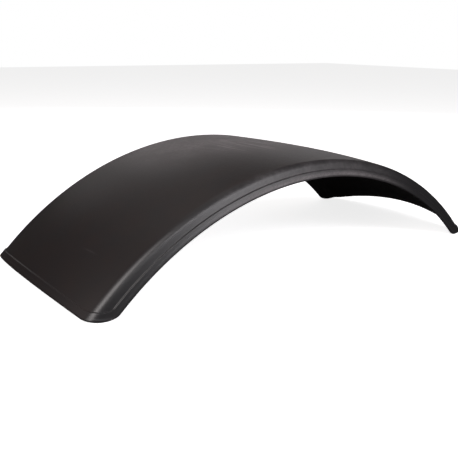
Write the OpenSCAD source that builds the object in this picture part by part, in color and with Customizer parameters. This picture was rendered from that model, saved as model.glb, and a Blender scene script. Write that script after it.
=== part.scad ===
// Wheel mudguard moulded in one piece: an arched shell with a crowned top, flared
// sides and a rim that stands proud all the way round.
// X runs along the arch, Y across it and Z up. The origin is centred under the arch,
// on the surface that its four corners stand on.

/* [Arch] */
// Radius of the arch, measured at the shoulders
arch_r = 584; // [480:1:720]
// Angle that the arch spans from end to end
arch_angle = 96.4; // [70:0.1:120]

/* [Cross-section] */
// Overall width, over the rim
width = 400; // [300:5:520]
// Thickness of the moulded wall
wall = 3.5; // [2.5:0.1:5]
// Rise of the crown above the shoulders at mid-length
crown_mid = 2.5; // [0:0.5:20]
// Rise of the crown above the shoulders at the two ends
crown_end = 40.5; // [10:0.5:60]
// Distance from the shoulder's sharp corner to where its rounding starts
shoulder_set = 9; // [6:0.5:10]
// Depth of the sides below the shoulders
side_depth = 29; // [28:1:60]
// Outward flare of the sides from upright
side_flare = 16; // [5:1:30]

/* [Rim] */
// Width of the rim along the two sides
rim_side = 11.6; // [8:0.1:14]
// Width of the rim across the two ends
rim_end = 12; // [9:0.5:30]
// How far the rim stands proud of the shell
rim_step = 2; // [1:0.1:3]
// Length of the slope between the shell and the rim
rim_slope = 3; // [1.5:0.1:3.5]

/* [Corners] */
// Reach of each corner's bend round the cross-section, from the side's lower edge
corner_reach = 46; // [34:1:60]
// Length of the same bend along the arch
corner_length = 38; // [20:1:60]
// Form of the bend, from nearly a straight cut at 1.3 to a round arc at 2
corner_form = 1.7; // [1.3:0.1:2]
// Size of the same corners along the rim's inner line, as a share of the outline's
inner_corner = 0.83; // [0.7:0.01:1]

/* [Smoothness] */
// Facets along the arch between the two end rims
arch_facets = 44; // [28:2:52]
// Facets from the shoulder to the middle of the crown
crown_facets = 6; // [4:1:8]
// Facets around each shoulder
shoulder_facets = 5; // [3:1:6]

/* [Hidden] */

moulded_black = [0.16, 0.16, 0.165];
half_angle = arch_angle / 2;
half_length = PI * arch_r * half_angle / 180;

// The half section is worked out as [across, height above the shoulder line].
up_side = [-sin(side_flare), cos(side_flare)];
side_foot = [width / 2 - rim_step * cos(side_flare), -side_depth];
corner_y = side_foot[0] - side_depth * tan(side_flare);
crown_y = corner_y - shoulder_set;

// Rows of the half section, counted from the lower edge of the side to the crown's middle.
// They lie closest at the edge, where the outline's rounded corners run into it.
rim_row = 5;
shoulder_foot = side_depth / cos(side_flare) - shoulder_set;
side_stops = [
    for (row = [0:rim_row]) rim_side * pow(row / rim_row, 2),
    rim_side + rim_slope,
    (rim_side + rim_slope + shoulder_foot) / 2
];
shoulder_row = len(side_stops);
crown_row = shoulder_row + shoulder_facets;
mid_row = crown_row + crown_facets;

// Columns of a row, counted from mid-length: the field, then the slope and the end rim
field_cols = arch_facets / 2;
last_col = field_cols + 3;

function crown_height(y, rise) = rise * (1 - pow(y / corner_y, 2));

// The shoulder's rounding: its foot on the side, its sharp corner and its top on the crown
function shoulder(rise) =
    let (
        top = [crown_y, crown_height(crown_y, rise)],
        fall = 2 * rise * crown_y / pow(corner_y, 2),
        corner_h = (top[1] - fall * shoulder_set) / (1 - fall * tan(side_flare)),
        corner = [corner_y - corner_h * tan(side_flare), corner_h]
    )
    [corner - shoulder_set * up_side, corner, top];

function curve(p, t) = (1 - t) * (1 - t) * p[0] + 2 * t * (1 - t) * p[1] + t * t * p[2];

function section_point(row, rise) =
    row < shoulder_row ? side_foot + side_stops[row] * up_side
    : row < crown_row ? curve(shoulder(rise), (row - shoulder_row) / shoulder_facets)
    : let (y = crown_y * (mid_row - row) / crown_facets) [y, crown_height(y, rise)];

// The section's outward direction at a row
function section_normal(row, rise) =
    row == mid_row ? [0, 1]
    : let (
        along = section_point(row + 1, rise) - section_point(max(row - 1, 0), rise)
    )
    [along[1], -along[0]] / norm(along);

// Distance of each row from the lower edge, measured round the section at the ends
end_section = [for (row = [0:mid_row]) section_point(row, crown_end)];
row_reach = [
    for (row = 0, reach = 0; row <= mid_row; row = row + 1,
         reach = row > mid_row ? reach : reach + norm(end_section[row] - end_section[row - 1]))
        reach
];

// How far a corner of a given size draws back the end of a line at distance d inside it
function draw_back(d, size) =
    let (t = max(1 - d / (size * corner_reach), 0))
    size * corner_length * (1 - pow(1 - pow(t, corner_form), 1 / corner_form));

// Distance from the square end to the outline, and to the rim's inner line, along a row
function edge_inset(row) = draw_back(row_reach[row], 1);
corner_rim = rim_end + inner_corner * corner_length - edge_inset(rim_row);
function rim_inset(row) =
    row > rim_row ? rim_end + draw_back(row_reach[row] - rim_side, inner_corner)
    : edge_inset(row) + corner_rim;

// Position along the arch of a column, from mid-length towards one end
function arc_position(row, col) =
    let (
        rim = rim_inset(row),
        edge = edge_inset(row)
    )
    col <= field_cols ? (half_length - rim - rim_slope) * col / field_cols
    : half_length - edge - (rim - edge) * (last_col - col) / 2;

// One point of the shell, at a distance outside its plain face
function shell_point(line, col, out) =
    let (
        row = mid_row - abs(line),
        angle = sign(col) * arc_position(row, abs(col)) / half_length * half_angle,
        rise = crown_mid + (crown_end - crown_mid) * pow(angle / half_angle, 2),
        proud = row <= rim_row || abs(col) > field_cols ? rim_step : 0,
        section = section_point(row, rise) + (out + proud) * section_normal(row, rise),
        radius = arch_r + section[1]
    )
    [radius * sin(angle), sign(line) * section[0], radius * cos(angle)];

// All points of the outer face, or of the inner face where out is minus the wall
function face_points(out) = [
    for (line = [-mid_row:mid_row], col = [-last_col:last_col]) shell_point(line, col, out)
];

cols = 2 * last_col + 1;
face_size = (2 * mid_row + 1) * cols;
function at(line, col, inside) = (line + mid_row) * cols + col + last_col + inside * face_size;

// A four-sided facet split along the diagonal that mirrors from quarter to quarter
function split(q, turned) = turned ? [[q[0], q[1], q[2]], [q[0], q[2], q[3]]]
    : [[q[1], q[2], q[3]], [q[1], q[3], q[0]]];

function face_facets(inside) = [
    for (line = [-mid_row:mid_row - 1], col = [-last_col:last_col - 1])
        let (
            a = at(line, col, inside),
            b = at(line, col + 1, inside),
            c = at(line + 1, col + 1, inside),
            d = at(line + 1, col, inside),
            turned = (line < 0) == (col < 0)
        )
        each split(inside == 1 ? [a, b, c, d] : [a, d, c, b], inside == 1 ? turned : !turned)
];

// The narrow faces round the outline, which join the outer face to the inner one
edge_facets = [
    for (col = [-last_col:last_col - 1], side = [-1, 1])
        let (from = side < 0 ? col : col + 1, to = side < 0 ? col + 1 : col)
        [at(side * mid_row, from, 0), at(side * mid_row, to, 0),
         at(side * mid_row, to, 1), at(side * mid_row, from, 1)],
    for (line = [-mid_row:mid_row - 1], end = [-1, 1])
        let (from = end < 0 ? line + 1 : line, to = end < 0 ? line : line + 1)
        [at(from, end * last_col, 0), at(to, end * last_col, 0),
         at(to, end * last_col, 1), at(from, end * last_col, 1)]
];

shell_points = concat(face_points(0), face_points(-wall));
stand_height = min([for (p = shell_points) p[2]]);

module mudguard() {
    color(moulded_black)
        translate([0, 0, -stand_height])
            polyhedron(
                points = shell_points,
                faces = concat(face_facets(0), face_facets(1), edge_facets),
                convexity = 6
            );
}

mudguard();
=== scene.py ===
import math

import bpy
import numpy as np
from mathutils import Matrix, Vector


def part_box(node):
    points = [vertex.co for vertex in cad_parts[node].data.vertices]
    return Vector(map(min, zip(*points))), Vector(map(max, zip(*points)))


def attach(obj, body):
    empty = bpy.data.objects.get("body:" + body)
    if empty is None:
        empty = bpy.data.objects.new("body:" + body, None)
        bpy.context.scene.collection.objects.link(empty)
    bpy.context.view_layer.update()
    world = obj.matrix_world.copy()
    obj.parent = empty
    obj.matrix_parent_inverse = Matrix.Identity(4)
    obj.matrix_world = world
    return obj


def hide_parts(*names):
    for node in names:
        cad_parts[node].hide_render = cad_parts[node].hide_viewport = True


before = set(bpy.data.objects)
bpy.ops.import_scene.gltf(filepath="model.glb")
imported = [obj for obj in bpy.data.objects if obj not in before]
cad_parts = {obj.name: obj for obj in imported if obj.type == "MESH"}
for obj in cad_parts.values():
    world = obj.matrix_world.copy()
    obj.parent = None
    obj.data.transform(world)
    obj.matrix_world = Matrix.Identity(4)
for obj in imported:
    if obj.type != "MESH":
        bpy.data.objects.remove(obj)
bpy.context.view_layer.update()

# The moulding's own sizes, in metres and radians, as the part's source gives them.
ARCH_R = 0.584
HALF_ANGLE = math.radians(96.4 / 2)
WIDTH = 0.400
WALL = 0.0035
CROWN_MID = 0.0025
CROWN_END = 0.0405
SHOULDER_SET = 0.009
SIDE_DEPTH = 0.029
SIDE_FLARE = math.radians(16)
RIM_SIDE = 0.0116
RIM_END = 0.012
RIM_STEP = 0.002
RIM_SLOPE = 0.003
CORNER_REACH = 0.046
CORNER_LENGTH = 0.038
CORNER_FORM = 1.7
INNER_CORNER = 0.83

# The wall's edge is rounded by this much, in this many steps round the wall.
LIP_BULGE = 0.0011
LIP_STEPS = 6
# The outer face bends in towards the edge: how far inside it starts, and how much it drops.
LIP_REACH, LIP_DROP = 0.0034, 0.0013
# A slight second step along the rim: its distance inside the edge, its slope and its rise.
BEAD_INSET, BEAD_SLOPE, BEAD_RISE = 0.0048, 0.0022, 0.0003
# The share of a step's slope that its S-shaped part takes up.
SLOPE_STEEP = 0.7

# Rows of the half section and columns of the half arch, stretch by stretch.
RIM_ROWS, SLOPE_ROWS, SIDE_ROWS, SHOULDER_ROWS, CROWN_ROWS = 22, 8, 6, 14, 30
FIELD_COLS, SLOPE_COLS, END_COLS = 106, 8, 22
# The rim's rows crowd towards the edge, where the rounded corners run into it.
RIM_CROWDING = 1.7

# Worked out from the sizes as the part's source does: the half section is
# [across, height above the shoulder line].
HALF_LENGTH = ARCH_R * HALF_ANGLE
UP_SIDE = np.array([-math.sin(SIDE_FLARE), math.cos(SIDE_FLARE)])
SIDE_FOOT = np.array([WIDTH / 2 - RIM_STEP * math.cos(SIDE_FLARE), -SIDE_DEPTH])
CORNER_Y = SIDE_FOOT[0] - SIDE_DEPTH * math.tan(SIDE_FLARE)
CROWN_Y = CORNER_Y - SHOULDER_SET
# How far below the floor the arch's centre lies.
CENTRE_DEPTH = ARCH_R + CROWN_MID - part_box("mudguard")[1].z

# The camera, as fitted to the photograph. Its place is in metres, its angles in radians
# and its lens in millimetres.
CAMERA_PLACE = (-0.7997, -1.0160, 0.7834 - CENTRE_DEPTH)
CAMERA_YAW, CAMERA_PITCH, CAMERA_ROLL = 0.93342, -0.27606, 0.01347
CAMERA_LENS, SENSOR_WIDTH, VIEW_DEPTH = 52.72, 36.0, 30.0

# Colours of the plastic: its crown, its sides, and one pale colour for all that lies on it or is
# rubbed pale, for a painted sheen and for the inner face's painted light.
# The crown's warmer black and the sides' cooler one are painted light, tints of the light that falls
# on each; the cloud noise mixes them at random on the crown.
# Each share below is how much of that last colour shows where its mark is full.
BLACK_WARM = (0.0150, 0.0094, 0.0084, 1)
BLACK_PLAIN = (0.0088, 0.0084, 0.0092, 1)
PALE_MARK_COLOUR = (0.30, 0.275, 0.28, 1)

# Noise patterns: features per metre, and how many finer layers they carry.
CLOUD = (22, 4.0)
MOTTLE = (150, 3.0)
SPECKLE = (420, 2.0)
GRAIN = (1500, 2.0)
# The stretch of values that most of a noise pattern falls in.
NOISE_SPAN = (0.3, 0.7)

# Depths of the plastic's relief, in metres. The speckle has one depth on the crown and
# gains the other on the sides.
GRAIN_DEPTH = 0.00002
SPECKLE_DEPTH, SPECKLE_DEPTH_SIDES = 0.00001, 0.000035
MOTTLE_DEPTH = 0.00025

# Roughness of the crown, what the sides lose, the speckle's spread and what pale places gain.
ROUGHNESS, SIDE_GLOSS, ROUGH_SPREAD, PALE_ROUGH = 0.46, 0.06, 0.08, 0.4

# Dust with its painted sheen, and relief, fade out along the arch between these two distances from
# mid-length.
APEX_FADE = (0.27, 0.09)
# Dust lies near the apex, and a painted sheen, a grazing reflection painted into the colour, makes the
# mark thickest at the back. Its front runs aslant across the crown: y + slant * x.
DUST_AND_SHEEN_SHARE, DUST_AND_SHEEN_SLANT, DUST_AND_SHEEN_FRONT = 0.31, 0.4, (-0.15, 0.10)
DUST_AND_SHEEN_SIDES = 0.25
# How unevenly the two patterns lay the dust and painted sheen, as a factor over the noise span.
MOTTLE_DUST_AND_SHEEN, CLOUD_DUST_AND_SHEEN = (0.6, 1.25), (0.6, 1.3)

# Pale scuffs lie in a patch that fades out between these two distances from its centre.
SCUFF_CENTRE = (0.03, 0.03, 0.195)
SCUFF_FADE = (0.02, 0.15)
# They are noise with features of this size in metres, turned by this angle. What is over
# the cut shows.
SCUFF_TURN, SCUFF_SIZE = 0.08, (0.005, 0.10, 1.0)
SCUFF_NOISE, SCUFF_CUT = (1.0, 2.0), (0.54, 0.68)
SCUFF_SHARE = 0.75

# One faint scratch near the left end, from (x, y) to (x, y).
SCRATCH = ((-0.390, -0.070), (-0.381, -0.123))
SCRATCH_WIDTH, SCRATCH_FADE, SCRATCH_SHARE = 0.0014, 0.03, 0.06

# A rubbed band along the rim: the distances inside the edge over which it comes in, and
# those over which it goes out. The least factor is its strength between the speckles.
WEAR_START, WEAR_END = (0.0022, 0.0040), (0.0115, 0.0050)
WEAR_SHARE, WEAR_LEAST = 0.28, 0.3
# Painted light on the inner face: it is made paler to stand in for light under the arch, as a share
# like the others.
INNER_PAINTED_LIGHT = 0.5

# Lamps face one point and stand at one distance from it. Each has an azimuth and an
# elevation in degrees, its width and height in metres, its radiance and its colour.
LAMP_DISTANCE = 2.6
LAMP_TARGET = Vector((0, 0, 0.12))
LAMPS = (
    ("key", 212, 33, (1.2, 1.34), 9.2, (1.0, 0.95, 0.94)),
    ("strip", 291, 17, (0.8, 0.92), 10.8, (0.99, 0.965, 1.0)),
    ("streak", 268, 31, (0.95, 0.40), 12.5, (1.0, 0.97, 1.0)),
    ("upper", 218, 55, (0.8, 0.5), 6.5, (1.0, 0.96, 0.98)),
    ("high", 283, 37, (0.65, 2.47), 1.2, (1.0, 0.97, 1.0)),
    ("back", 94, 73, (1.57, 2.5), 0.57, (1.0, 0.96, 0.94)),
    ("rear", 52, 13, (2.0, 0.6), 1.12, (1.0, 0.97, 0.98)),
    ("far", 78, 18, (1.2, 1.0), 0.5, (1.0, 0.97, 0.97)),
)

# The floor and the sky: what the camera sees of them, and what the part does.
FLOOR_HALF = 8.0
FLOOR_GLOW = 0.82
FLOOR_SEEN = (0.9, 0.9, 0.9, 1)
FLOOR_UNSEEN = (0.08, 0.08, 0.08, 1)
SKY_SEEN = (1, 1, 1, 1)
DOME = (0.045, 0.042, 0.041, 1)

# Socket numbers of a Mix node that is set to colour: its two colours and its result.
MIX_FIRST, MIX_SECOND, MIX_RESULT = 6, 7, 2


def smooth(t):
    """An S-shaped step from 0 to 1 while t goes from 0 to 1, steepest in its middle."""
    t = np.clip((t - 0.5) / SLOPE_STEEP + 0.5, 0.0, 1.0)
    return t * t * (3 - 2 * t)


def crown_height(y, rise):
    """The crown's height above the shoulder line."""
    return rise * (1 - (y / CORNER_Y) ** 2)


def shoulder_points(rise):
    """The shoulder's foot on the side, its sharp corner and its top on the crown."""
    top = crown_height(CROWN_Y, rise)
    fall = 2 * rise * CROWN_Y / CORNER_Y ** 2
    corner_h = (top - fall * SHOULDER_SET) / (1 - fall * math.tan(SIDE_FLARE))
    corner = np.stack([CORNER_Y - corner_h * math.tan(SIDE_FLARE), corner_h], -1)
    return corner - SHOULDER_SET * UP_SIDE, corner, np.stack([CROWN_Y + 0 * rise, top], -1)


def row_stops():
    """Where each row lies: ("side", distance up it), ("shoulder", t) or ("crown", y)."""
    foot = SIDE_DEPTH / math.cos(SIDE_FLARE) - SHOULDER_SET
    slope_top = RIM_SIDE + RIM_SLOPE
    stops = [("side", RIM_SIDE * (i / RIM_ROWS) ** RIM_CROWDING) for i in range(RIM_ROWS)]
    stops += [("side", RIM_SIDE + RIM_SLOPE * i / SLOPE_ROWS) for i in range(SLOPE_ROWS)]
    stops += [("side", slope_top + (foot - slope_top) * i / SIDE_ROWS) for i in range(SIDE_ROWS)]
    stops += [("shoulder", i / SHOULDER_ROWS) for i in range(SHOULDER_ROWS)]
    stops += [("crown", CROWN_Y * (1 - i / CROWN_ROWS)) for i in range(CROWN_ROWS + 1)]
    return stops


STOPS = row_stops()


def section(rise):
    """The half section at each given rise of the crown: [..., row, (across, height)]."""
    rise = np.asarray(rise, float)
    foot, corner, top = shoulder_points(rise)
    rows = []
    for kind, at in STOPS:
        if kind == "side":
            rows.append(np.broadcast_to(SIDE_FOOT + at * UP_SIDE, corner.shape))
        elif kind == "shoulder":
            rows.append((1 - at) ** 2 * foot + 2 * at * (1 - at) * corner + at * at * top)
        else:
            rows.append(np.stack([at + 0 * rise, crown_height(at, rise)], -1))
    return np.stack(rows, -2)


def section_normals(profile):
    """The section's outward direction at each row."""
    along = np.gradient(profile, axis=-2)
    along[..., -1, :] = [-1, 0]
    normal = np.stack([along[..., 1], -along[..., 0]], -1)
    return normal / np.linalg.norm(normal, axis=-1, keepdims=True)


# The distance of each row from the side's lower edge, round the section at the ends.
END_STEPS = np.linalg.norm(np.diff(section(CROWN_END), axis=0), axis=1)
REACH = np.concatenate([[0], np.cumsum(END_STEPS)])


def draw_back(inside, size):
    """How far a corner of that size draws back the end of a line a distance inside it."""
    t = np.clip(1 - inside / (size * CORNER_REACH), 0, 1)
    return size * CORNER_LENGTH * (1 - (1 - t ** CORNER_FORM) ** (1 / CORNER_FORM))


def column_places():
    """The position of each column along the arch, row by row, for one half: [row, column]."""
    edge = draw_back(REACH, 1)
    rim = RIM_END + draw_back(REACH - RIM_SIDE, INNER_CORNER)
    corner_rim = RIM_END + INNER_CORNER * CORNER_LENGTH - draw_back(RIM_SIDE, 1)
    rim = np.where(REACH < RIM_SIDE, edge + corner_rim, rim)
    field = HALF_LENGTH - rim - RIM_SLOPE
    places = [field * i / FIELD_COLS for i in range(FIELD_COLS)]
    places += [field + RIM_SLOPE * i / SLOPE_COLS for i in range(SLOPE_COLS)]
    places += [HALF_LENGTH - rim + (rim - edge) * i / END_COLS for i in range(END_COLS + 1)]
    return np.stack(places, -1)


def edge_distance(places):
    """The distance from the outline at each row and column of the half arch."""
    return np.minimum(REACH[:, None], places[:, -1:] - places)


def rim_heights(places):
    """How far the rim and its second step stand proud at each row and column of the half arch."""
    side = 1 - smooth((REACH - RIM_SIDE) / RIM_SLOPE)
    end = smooth((np.arange(places.shape[1]) - FIELD_COLS) / SLOPE_COLS)
    inset = edge_distance(places)
    bead = 1 - smooth((inset - BEAD_INSET) / BEAD_SLOPE)
    return RIM_STEP * np.maximum(side[:, None], end[None, :]) + BEAD_RISE * bead


def lip_bend(places):
    """How far the outer face bends in towards the outline, on a quarter of an ellipse."""
    near = np.clip(1 - edge_distance(places) / LIP_REACH, 0, 1)
    return LIP_DROP * (1 - np.sqrt(1 - near ** 2))


def both_ends(half, sign=1):
    """A grid of the half arch made whole. The mirrored half is times the sign."""
    return np.concatenate([sign * half[:, :0:-1], half], axis=1)


def both_sides(half, mirror=1):
    """Rows from the edge to the middle made whole. The first side is times the mirror."""
    return np.concatenate([half * mirror, half[-2::-1]], axis=0)


def face_heights(half, out):
    """How far the face at that distance out stands off the plain one. The outer one bends in."""
    heights = rim_heights(half) + out
    return heights if out else heights - lip_bend(half)


def shell_points(out):
    """Points and outward directions of one face: [row from the near edge, column, xyz]."""
    half = column_places()
    places = both_ends(half, -1)
    heights = both_ends(face_heights(half, out))
    angle = places / HALF_LENGTH * HALF_ANGLE
    rise = CROWN_MID + (CROWN_END - CROWN_MID) * (angle / HALF_ANGLE) ** 2
    profile = section(rise)
    # Each row's place on the section is taken at that same row's own angles.
    rows = np.arange(len(STOPS))[:, None]
    cols = np.arange(places.shape[1])[None, :]
    facing = section_normals(profile)[rows, cols, rows]
    across = profile[rows, cols, rows] + heights[..., None] * facing
    radius = ARCH_R + across[..., 1]
    height = radius * np.cos(angle) - CENTRE_DEPTH
    points = np.stack([radius * np.sin(angle), across[..., 0], height], -1)
    outward = [facing[..., 1] * np.sin(angle), facing[..., 0], facing[..., 1] * np.cos(angle)]
    mirror = np.array([1, -1, 1])
    return both_sides(points, mirror), both_sides(np.stack(outward, -1), mirror)


def outline_loop(rows, cols):
    """Grid places round the outline, in order, each once: their rows and their columns."""
    near = [(0, c) for c in range(cols - 1)]
    right = [(r, cols - 1) for r in range(rows - 1)]
    far = [(rows - 1, c) for c in range(cols - 1, 0, -1)]
    left = [(r, 0) for r in range(rows - 1, 0, -1)]
    loop = np.array(near + right + far + left)
    return loop[:, 0], loop[:, 1]


def rounded_lip(outer, inner, outward, loop):
    """Draws both faces in from the outline, and gives the rings of the lip between them.

    They are drawn in by the bulge, so that the lip's outermost line lies on the outline.
    """
    edge = outer[loop]
    along = np.roll(edge, -1, axis=0) - np.roll(edge, 1, axis=0)
    away = np.cross(along, outward[loop])
    away /= np.linalg.norm(away, axis=1, keepdims=True)
    middle = (edge + inner[loop]) / 2
    half = edge - middle
    for face in (outer, inner):
        face[loop] -= away * LIP_BULGE
    rings = []
    for i in range(1, LIP_STEPS):
        turn = math.pi * i / LIP_STEPS
        rings.append(middle + half * math.cos(turn) - away * LIP_BULGE * (1 - math.sin(turn)))
    return rings


def face_quads(index):
    """The four-sided facets of a grid of point numbers."""
    corners = [index[:-1, :-1], index[:-1, 1:], index[1:, 1:], index[1:, :-1]]
    return np.stack(corners, -1).reshape(-1, 4)


def lip_quads(index, loop):
    """The facets round the lip, from the outer face's outline to the inner face's."""
    count = len(loop[0])
    rings = [index[loop]]
    for i in range(LIP_STEPS - 1):
        rings.append(2 * index.size + i * count + np.arange(count))
    rings.append(index[loop] + index.size)
    quads = []
    for ring, following in zip(rings, rings[1:]):
        quads.append(np.stack([np.roll(ring, -1), ring, following, np.roll(following, -1)], -1))
    return np.concatenate(quads)


def mark(mesh, name, values):
    """Stores a number for each point of the mesh, for the material to read."""
    layer = mesh.attributes.new(name, "FLOAT", "POINT")
    layer.data.foreach_set("value", values.astype(np.float32))


def mudguard_mesh():
    """The whole moulding as one closed mesh: outer face, inner face, then the lip's rings."""
    outer, outward = shell_points(0.0)
    inner, _ = shell_points(-WALL)
    loop = outline_loop(*outer.shape[:2])
    rings = rounded_lip(outer, inner, outward, loop)
    points = np.concatenate([outer.reshape(-1, 3), inner.reshape(-1, 3)] + rings)
    size = outer.shape[0] * outer.shape[1]
    index = np.arange(size).reshape(outer.shape[:2])
    quads = face_quads(index)
    faces = np.concatenate([quads, quads[:, ::-1] + size, lip_quads(index, loop)])
    mesh = bpy.data.meshes.new("mudguard_shell")
    mesh.from_pydata(points.tolist(), [], faces.tolist())
    mesh.shade_smooth()
    inset = both_sides(both_ends(edge_distance(column_places()))).reshape(-1)
    lip = np.ones(len(points) - 2 * size)
    mark(mesh, "outer", np.concatenate([np.ones(size), np.zeros(size), lip]))
    mark(mesh, "inset", np.concatenate([inset, inset, np.zeros_like(lip)]))
    return mesh


def add(tree, kind, inputs=(), **settings):
    """A new node with its settings and its inputs, each a value or another node's output."""
    node = tree.nodes.new(kind)
    for name, value in settings.items():
        setattr(node, name, value)
    for socket, value in inputs:
        if isinstance(value, bpy.types.NodeSocket):
            tree.links.new(value, node.inputs[socket])
        else:
            node.inputs[socket].default_value = value
    return node


def maths(tree, operation, *values):
    """A Math node's result."""
    return add(tree, "ShaderNodeMath", enumerate(values), operation=operation).outputs[0]


def product(tree, first, *others):
    """All the values multiplied together."""
    for other in others:
        first = maths(tree, "MULTIPLY", first, other)
    return first


def total(tree, first, *others):
    """The sum of all the values."""
    for other in others:
        first = maths(tree, "ADD", first, other)
    return first


def between(tree, value, start, end, low=0.0, high=1.0):
    """A soft step from low to high while the value goes from start to end."""
    inputs = enumerate((value, start, end, low, high))
    return add(tree, "ShaderNodeMapRange", inputs, interpolation_type="SMOOTHSTEP").outputs[0]


def noise(tree, place, scale, detail):
    """Noise from 0 to 1 with that many features per unit of place."""
    inputs = (("Vector", place), ("Scale", scale), ("Detail", detail))
    return add(tree, "ShaderNodeTexNoise", inputs).outputs[0]


def mixed(tree, share, first, second):
    """A colour between two others."""
    inputs = (("Factor", share), (MIX_FIRST, first), (MIX_SECOND, second))
    mix = add(tree, "ShaderNodeMix", inputs, data_type="RGBA", clamp_factor=True)
    return mix.outputs[MIX_RESULT]


def bump(tree, height, depth, normal=None):
    """A relief of that depth in metres, laid over another one."""
    inputs = [("Height", height), ("Distance", depth)]
    if normal is not None:
        inputs.append(("Normal", normal))
    return add(tree, "ShaderNodeBump", inputs).outputs[0]


def surface(tree):
    """What the material knows of each place on the moulding, by name."""
    place = add(tree, "ShaderNodeTexCoord").outputs["Object"]
    x, y, _ = add(tree, "ShaderNodeSeparateXYZ", [(0, place)]).outputs
    outer = add(tree, "ShaderNodeAttribute", attribute_name="outer").outputs["Fac"]
    along = maths(tree, "ABSOLUTE", x)
    across = maths(tree, "ABSOLUTE", y)
    return {
        "place": place,
        "x": x,
        "y": y,
        "outer": outer,
        "inset": add(tree, "ShaderNodeAttribute", attribute_name="inset").outputs["Fac"],
        "apex": product(tree, between(tree, along, *APEX_FADE), outer),
        "sides": between(tree, across, CROWN_Y - SHOULDER_SET, CROWN_Y + SHOULDER_SET),
        "cloud": noise(tree, place, *CLOUD),
        "mottle": noise(tree, place, *MOTTLE),
        "speckle": noise(tree, place, *SPECKLE),
        "grain": noise(tree, place, *GRAIN),
    }


def dust_and_sheen(tree, at):
    """Dust near the apex, with a painted sheen that makes it thickest at the back, and thin on the
    sides.
    """
    front = maths(tree, "MULTIPLY_ADD", at["x"], DUST_AND_SHEEN_SLANT, at["y"])
    # Thicker towards the back: this part is painted sheen, a grazing reflection painted into the
    # colour.
    dust_and_sheen_spread = between(tree, front, *DUST_AND_SHEEN_FRONT)
    dust_and_sheen_spread = maths(tree, "MAXIMUM", dust_and_sheen_spread, product(tree, at["sides"], DUST_AND_SHEEN_SIDES))
    fine = between(tree, at["mottle"], *NOISE_SPAN, *MOTTLE_DUST_AND_SHEEN)
    broad = between(tree, at["cloud"], *NOISE_SPAN, *CLOUD_DUST_AND_SHEEN)
    return product(tree, at["apex"], dust_and_sheen_spread, fine, broad, DUST_AND_SHEEN_SHARE)


def scuffs(tree, at):
    """Thin pale streaks across the crown, in a patch near the apex."""
    ends = enumerate((at["place"], SCUFF_CENTRE))
    apart = add(tree, "ShaderNodeVectorMath", ends, operation="DISTANCE").outputs["Value"]
    patch = between(tree, apart, *SCUFF_FADE, 1.0, 0.0)
    inputs = (("Vector", at["place"]), ("Rotation", (0, 0, SCUFF_TURN)), ("Scale", SCUFF_SIZE))
    drawn = add(tree, "ShaderNodeMapping", inputs, vector_type="TEXTURE").outputs[0]
    streaks = between(tree, noise(tree, drawn, *SCUFF_NOISE), *SCUFF_CUT)
    return product(tree, streaks, patch, SCUFF_SHARE)


def scratch(tree, at):
    """A fine straight scratch that fades out at both of its ends."""
    (x0, y0), (x1, y1) = SCRATCH
    slant = (x1 - x0) / (y1 - y0)
    line = maths(tree, "MULTIPLY_ADD", at["y"], slant, x0 - y0 * slant)
    aside = maths(tree, "ABSOLUTE", maths(tree, "SUBTRACT", at["x"], line))
    thin = between(tree, aside, 0.0, SCRATCH_WIDTH, 1.0, 0.0)
    started = between(tree, at["y"], y0, y0 - SCRATCH_FADE)
    ended = between(tree, at["y"], y1 + SCRATCH_FADE, y1, 1.0, 0.0)
    return product(tree, thin, started, ended, SCRATCH_SHARE)


def wear(tree, at):
    """A rubbed band along the rim, patchy with the speckle."""
    comes_in = between(tree, at["inset"], *WEAR_START)
    goes_out = between(tree, at["inset"], *WEAR_END)
    patchy = between(tree, at["speckle"], *NOISE_SPAN, WEAR_LEAST, 1.0)
    return product(tree, comes_in, goes_out, at["apex"], patchy, WEAR_SHARE)


def plastic():
    """Black moulded plastic with a fine grain, a mottled and dusty crown with a painted sheen at the
    back, some wear, a crown and sides tinted by painted light, and an inner face painted pale as light
    under the arch.
    """
    material = bpy.data.materials.new("moulded_plastic")
    material.use_nodes = True
    tree = material.node_tree
    shader = tree.nodes["Principled BSDF"]
    at = surface(tree)

    # Painted light: the inner face is made paler to stand in for light under the arch.
    inner_painted_light = between(tree, at["outer"], 1.0, 0.0, 0.0, INNER_PAINTED_LIGHT)
    marks = (dust_and_sheen(tree, at), scuffs(tree, at), scratch(tree, at), wear(tree, at))
    pale = total(tree, inner_painted_light, *marks)
    # The crown's warm black against the sides' plain one is painted light, a tint of the light falling
    # on each; the cloud varies it at random.
    black = mixed(tree, maths(tree, "MAXIMUM", at["cloud"], at["sides"]), BLACK_WARM, BLACK_PLAIN)
    tree.links.new(mixed(tree, pale, black, PALE_MARK_COLOUR), shader.inputs["Base Color"])

    least = ROUGHNESS - ROUGH_SPREAD / 2
    rough = maths(tree, "MULTIPLY_ADD", at["speckle"], ROUGH_SPREAD, least)
    rough = maths(tree, "MULTIPLY_ADD", at["sides"], -SIDE_GLOSS, rough)
    rough = maths(tree, "MULTIPLY_ADD", pale, PALE_ROUGH, rough)
    tree.links.new(rough, shader.inputs["Roughness"])

    relief = bump(tree, at["mottle"], product(tree, at["apex"], MOTTLE_DEPTH))
    depth = maths(tree, "MULTIPLY_ADD", at["sides"], SPECKLE_DEPTH_SIDES, SPECKLE_DEPTH)
    relief = bump(tree, at["speckle"], depth, relief)
    relief = bump(tree, at["grain"], GRAIN_DEPTH, relief)
    tree.links.new(relief, shader.inputs["Normal"])
    return material


def linked(name, data):
    """A new object in the scene."""
    new = bpy.data.objects.new(name, data)
    bpy.context.scene.collection.objects.link(new)
    return new


def mudguard():
    """The moulding, which stands for the CAD node of the same name."""
    guard = linked("mudguard_shell", mudguard_mesh())
    guard.data.materials.append(plastic())
    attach(guard, "root")
    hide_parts("mudguard")


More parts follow.
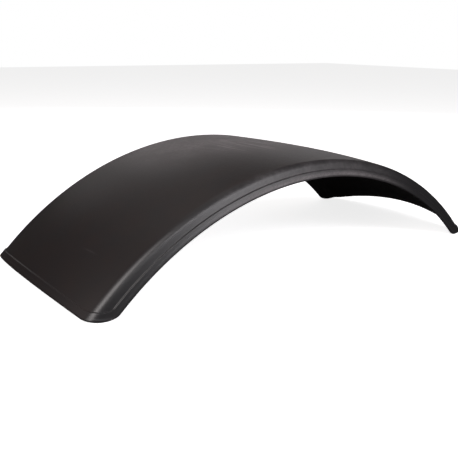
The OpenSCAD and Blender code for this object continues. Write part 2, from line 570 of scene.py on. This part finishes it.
def camera():
    """The photograph's view."""
    data = bpy.data.cameras.new("view")
    data.lens = CAMERA_LENS
    data.sensor_width = SENSOR_WIDTH
    data.clip_end = VIEW_DEPTH
    cos_p, sin_p = math.cos(CAMERA_PITCH), math.sin(CAMERA_PITCH)
    forward = Vector((math.cos(CAMERA_YAW) * cos_p, math.sin(CAMERA_YAW) * cos_p, sin_p))
    right = Vector((math.sin(CAMERA_YAW), -math.cos(CAMERA_YAW), 0))
    up = right.cross(forward)
    cos_r, sin_r = math.cos(CAMERA_ROLL), math.sin(CAMERA_ROLL)
    right, up = right * cos_r + up * sin_r, up * cos_r - right * sin_r
    turn = Matrix((right, up, -forward)).transposed().to_4x4()
    view = linked("view", data)
    view.matrix_world = Matrix.Translation(CAMERA_PLACE) @ turn
    bpy.context.scene.camera = view


def lamp(name, azimuth, elevation, size, radiance, colour):
    """A soft box that faces the part. Its brightness doesn't change with its size."""
    data = bpy.data.lights.new(name, "AREA")
    data.shape = "RECTANGLE"
    data.size, data.size_y = size
    data.energy = radiance * math.pi * data.size * data.size_y
    data.color = colour
    a, e = math.radians(azimuth), math.radians(elevation)
    away = Vector((math.cos(a) * math.cos(e), math.sin(a) * math.cos(e), math.sin(e)))
    light = linked(name, data)
    light.location = LAMP_TARGET + away * LAMP_DISTANCE
    light.rotation_euler = (-away).to_track_quat("-Z", "Y").to_euler()
    light.visible_camera = False


def floor():
    """A pale floor that keeps the shadow. It is dark to the part, so little light comes from below."""
    mesh = bpy.data.meshes.new("floor")
    corners = [(-1, -1), (1, -1), (1, 1), (-1, 1)]
    mesh.from_pydata([(x * FLOOR_HALF, y * FLOOR_HALF, 0) for x, y in corners], [], [(0, 1, 2, 3)])
    linked("floor", mesh)
    material = bpy.data.materials.new("floor")
    material.use_nodes = True
    tree = material.node_tree
    tree.nodes.clear()
    white = add(tree, "ShaderNodeBsdfDiffuse", [("Color", FLOOR_SEEN)])
    glow = add(tree, "ShaderNodeEmission", [("Strength", FLOOR_GLOW)])
    bright = add(tree, "ShaderNodeAddShader", enumerate((white.outputs[0], glow.outputs[0])))
    dark = add(tree, "ShaderNodeBsdfDiffuse", [("Color", FLOOR_UNSEEN)])
    seen = add(tree, "ShaderNodeLightPath").outputs["Is Camera Ray"]
    both = add(tree, "ShaderNodeMixShader", enumerate((seen, dark.outputs[0], bright.outputs[0])))
    add(tree, "ShaderNodeOutputMaterial", [("Surface", both.outputs[0])])
    mesh.materials.append(material)


def sky():
    """White where the camera sees it, and a dim dome over the part."""
    world = bpy.data.worlds.new("studio")
    bpy.context.scene.world = world
    world.use_nodes = True
    tree = world.node_tree
    tree.nodes.clear()
    dome = add(tree, "ShaderNodeBackground", [("Color", DOME)])
    white = add(tree, "ShaderNodeBackground", [("Color", SKY_SEEN)])
    seen = add(tree, "ShaderNodeLightPath").outputs["Is Camera Ray"]
    both = add(tree, "ShaderNodeMixShader", enumerate((seen, dome.outputs[0], white.outputs[0])))
    add(tree, "ShaderNodeOutputWorld", [("Surface", both.outputs[0])])


mudguard()
camera()
floor()
for settings in LAMPS:
    lamp(*settings)
sky()
bpy.context.scene.view_settings.view_transform = "Standard"
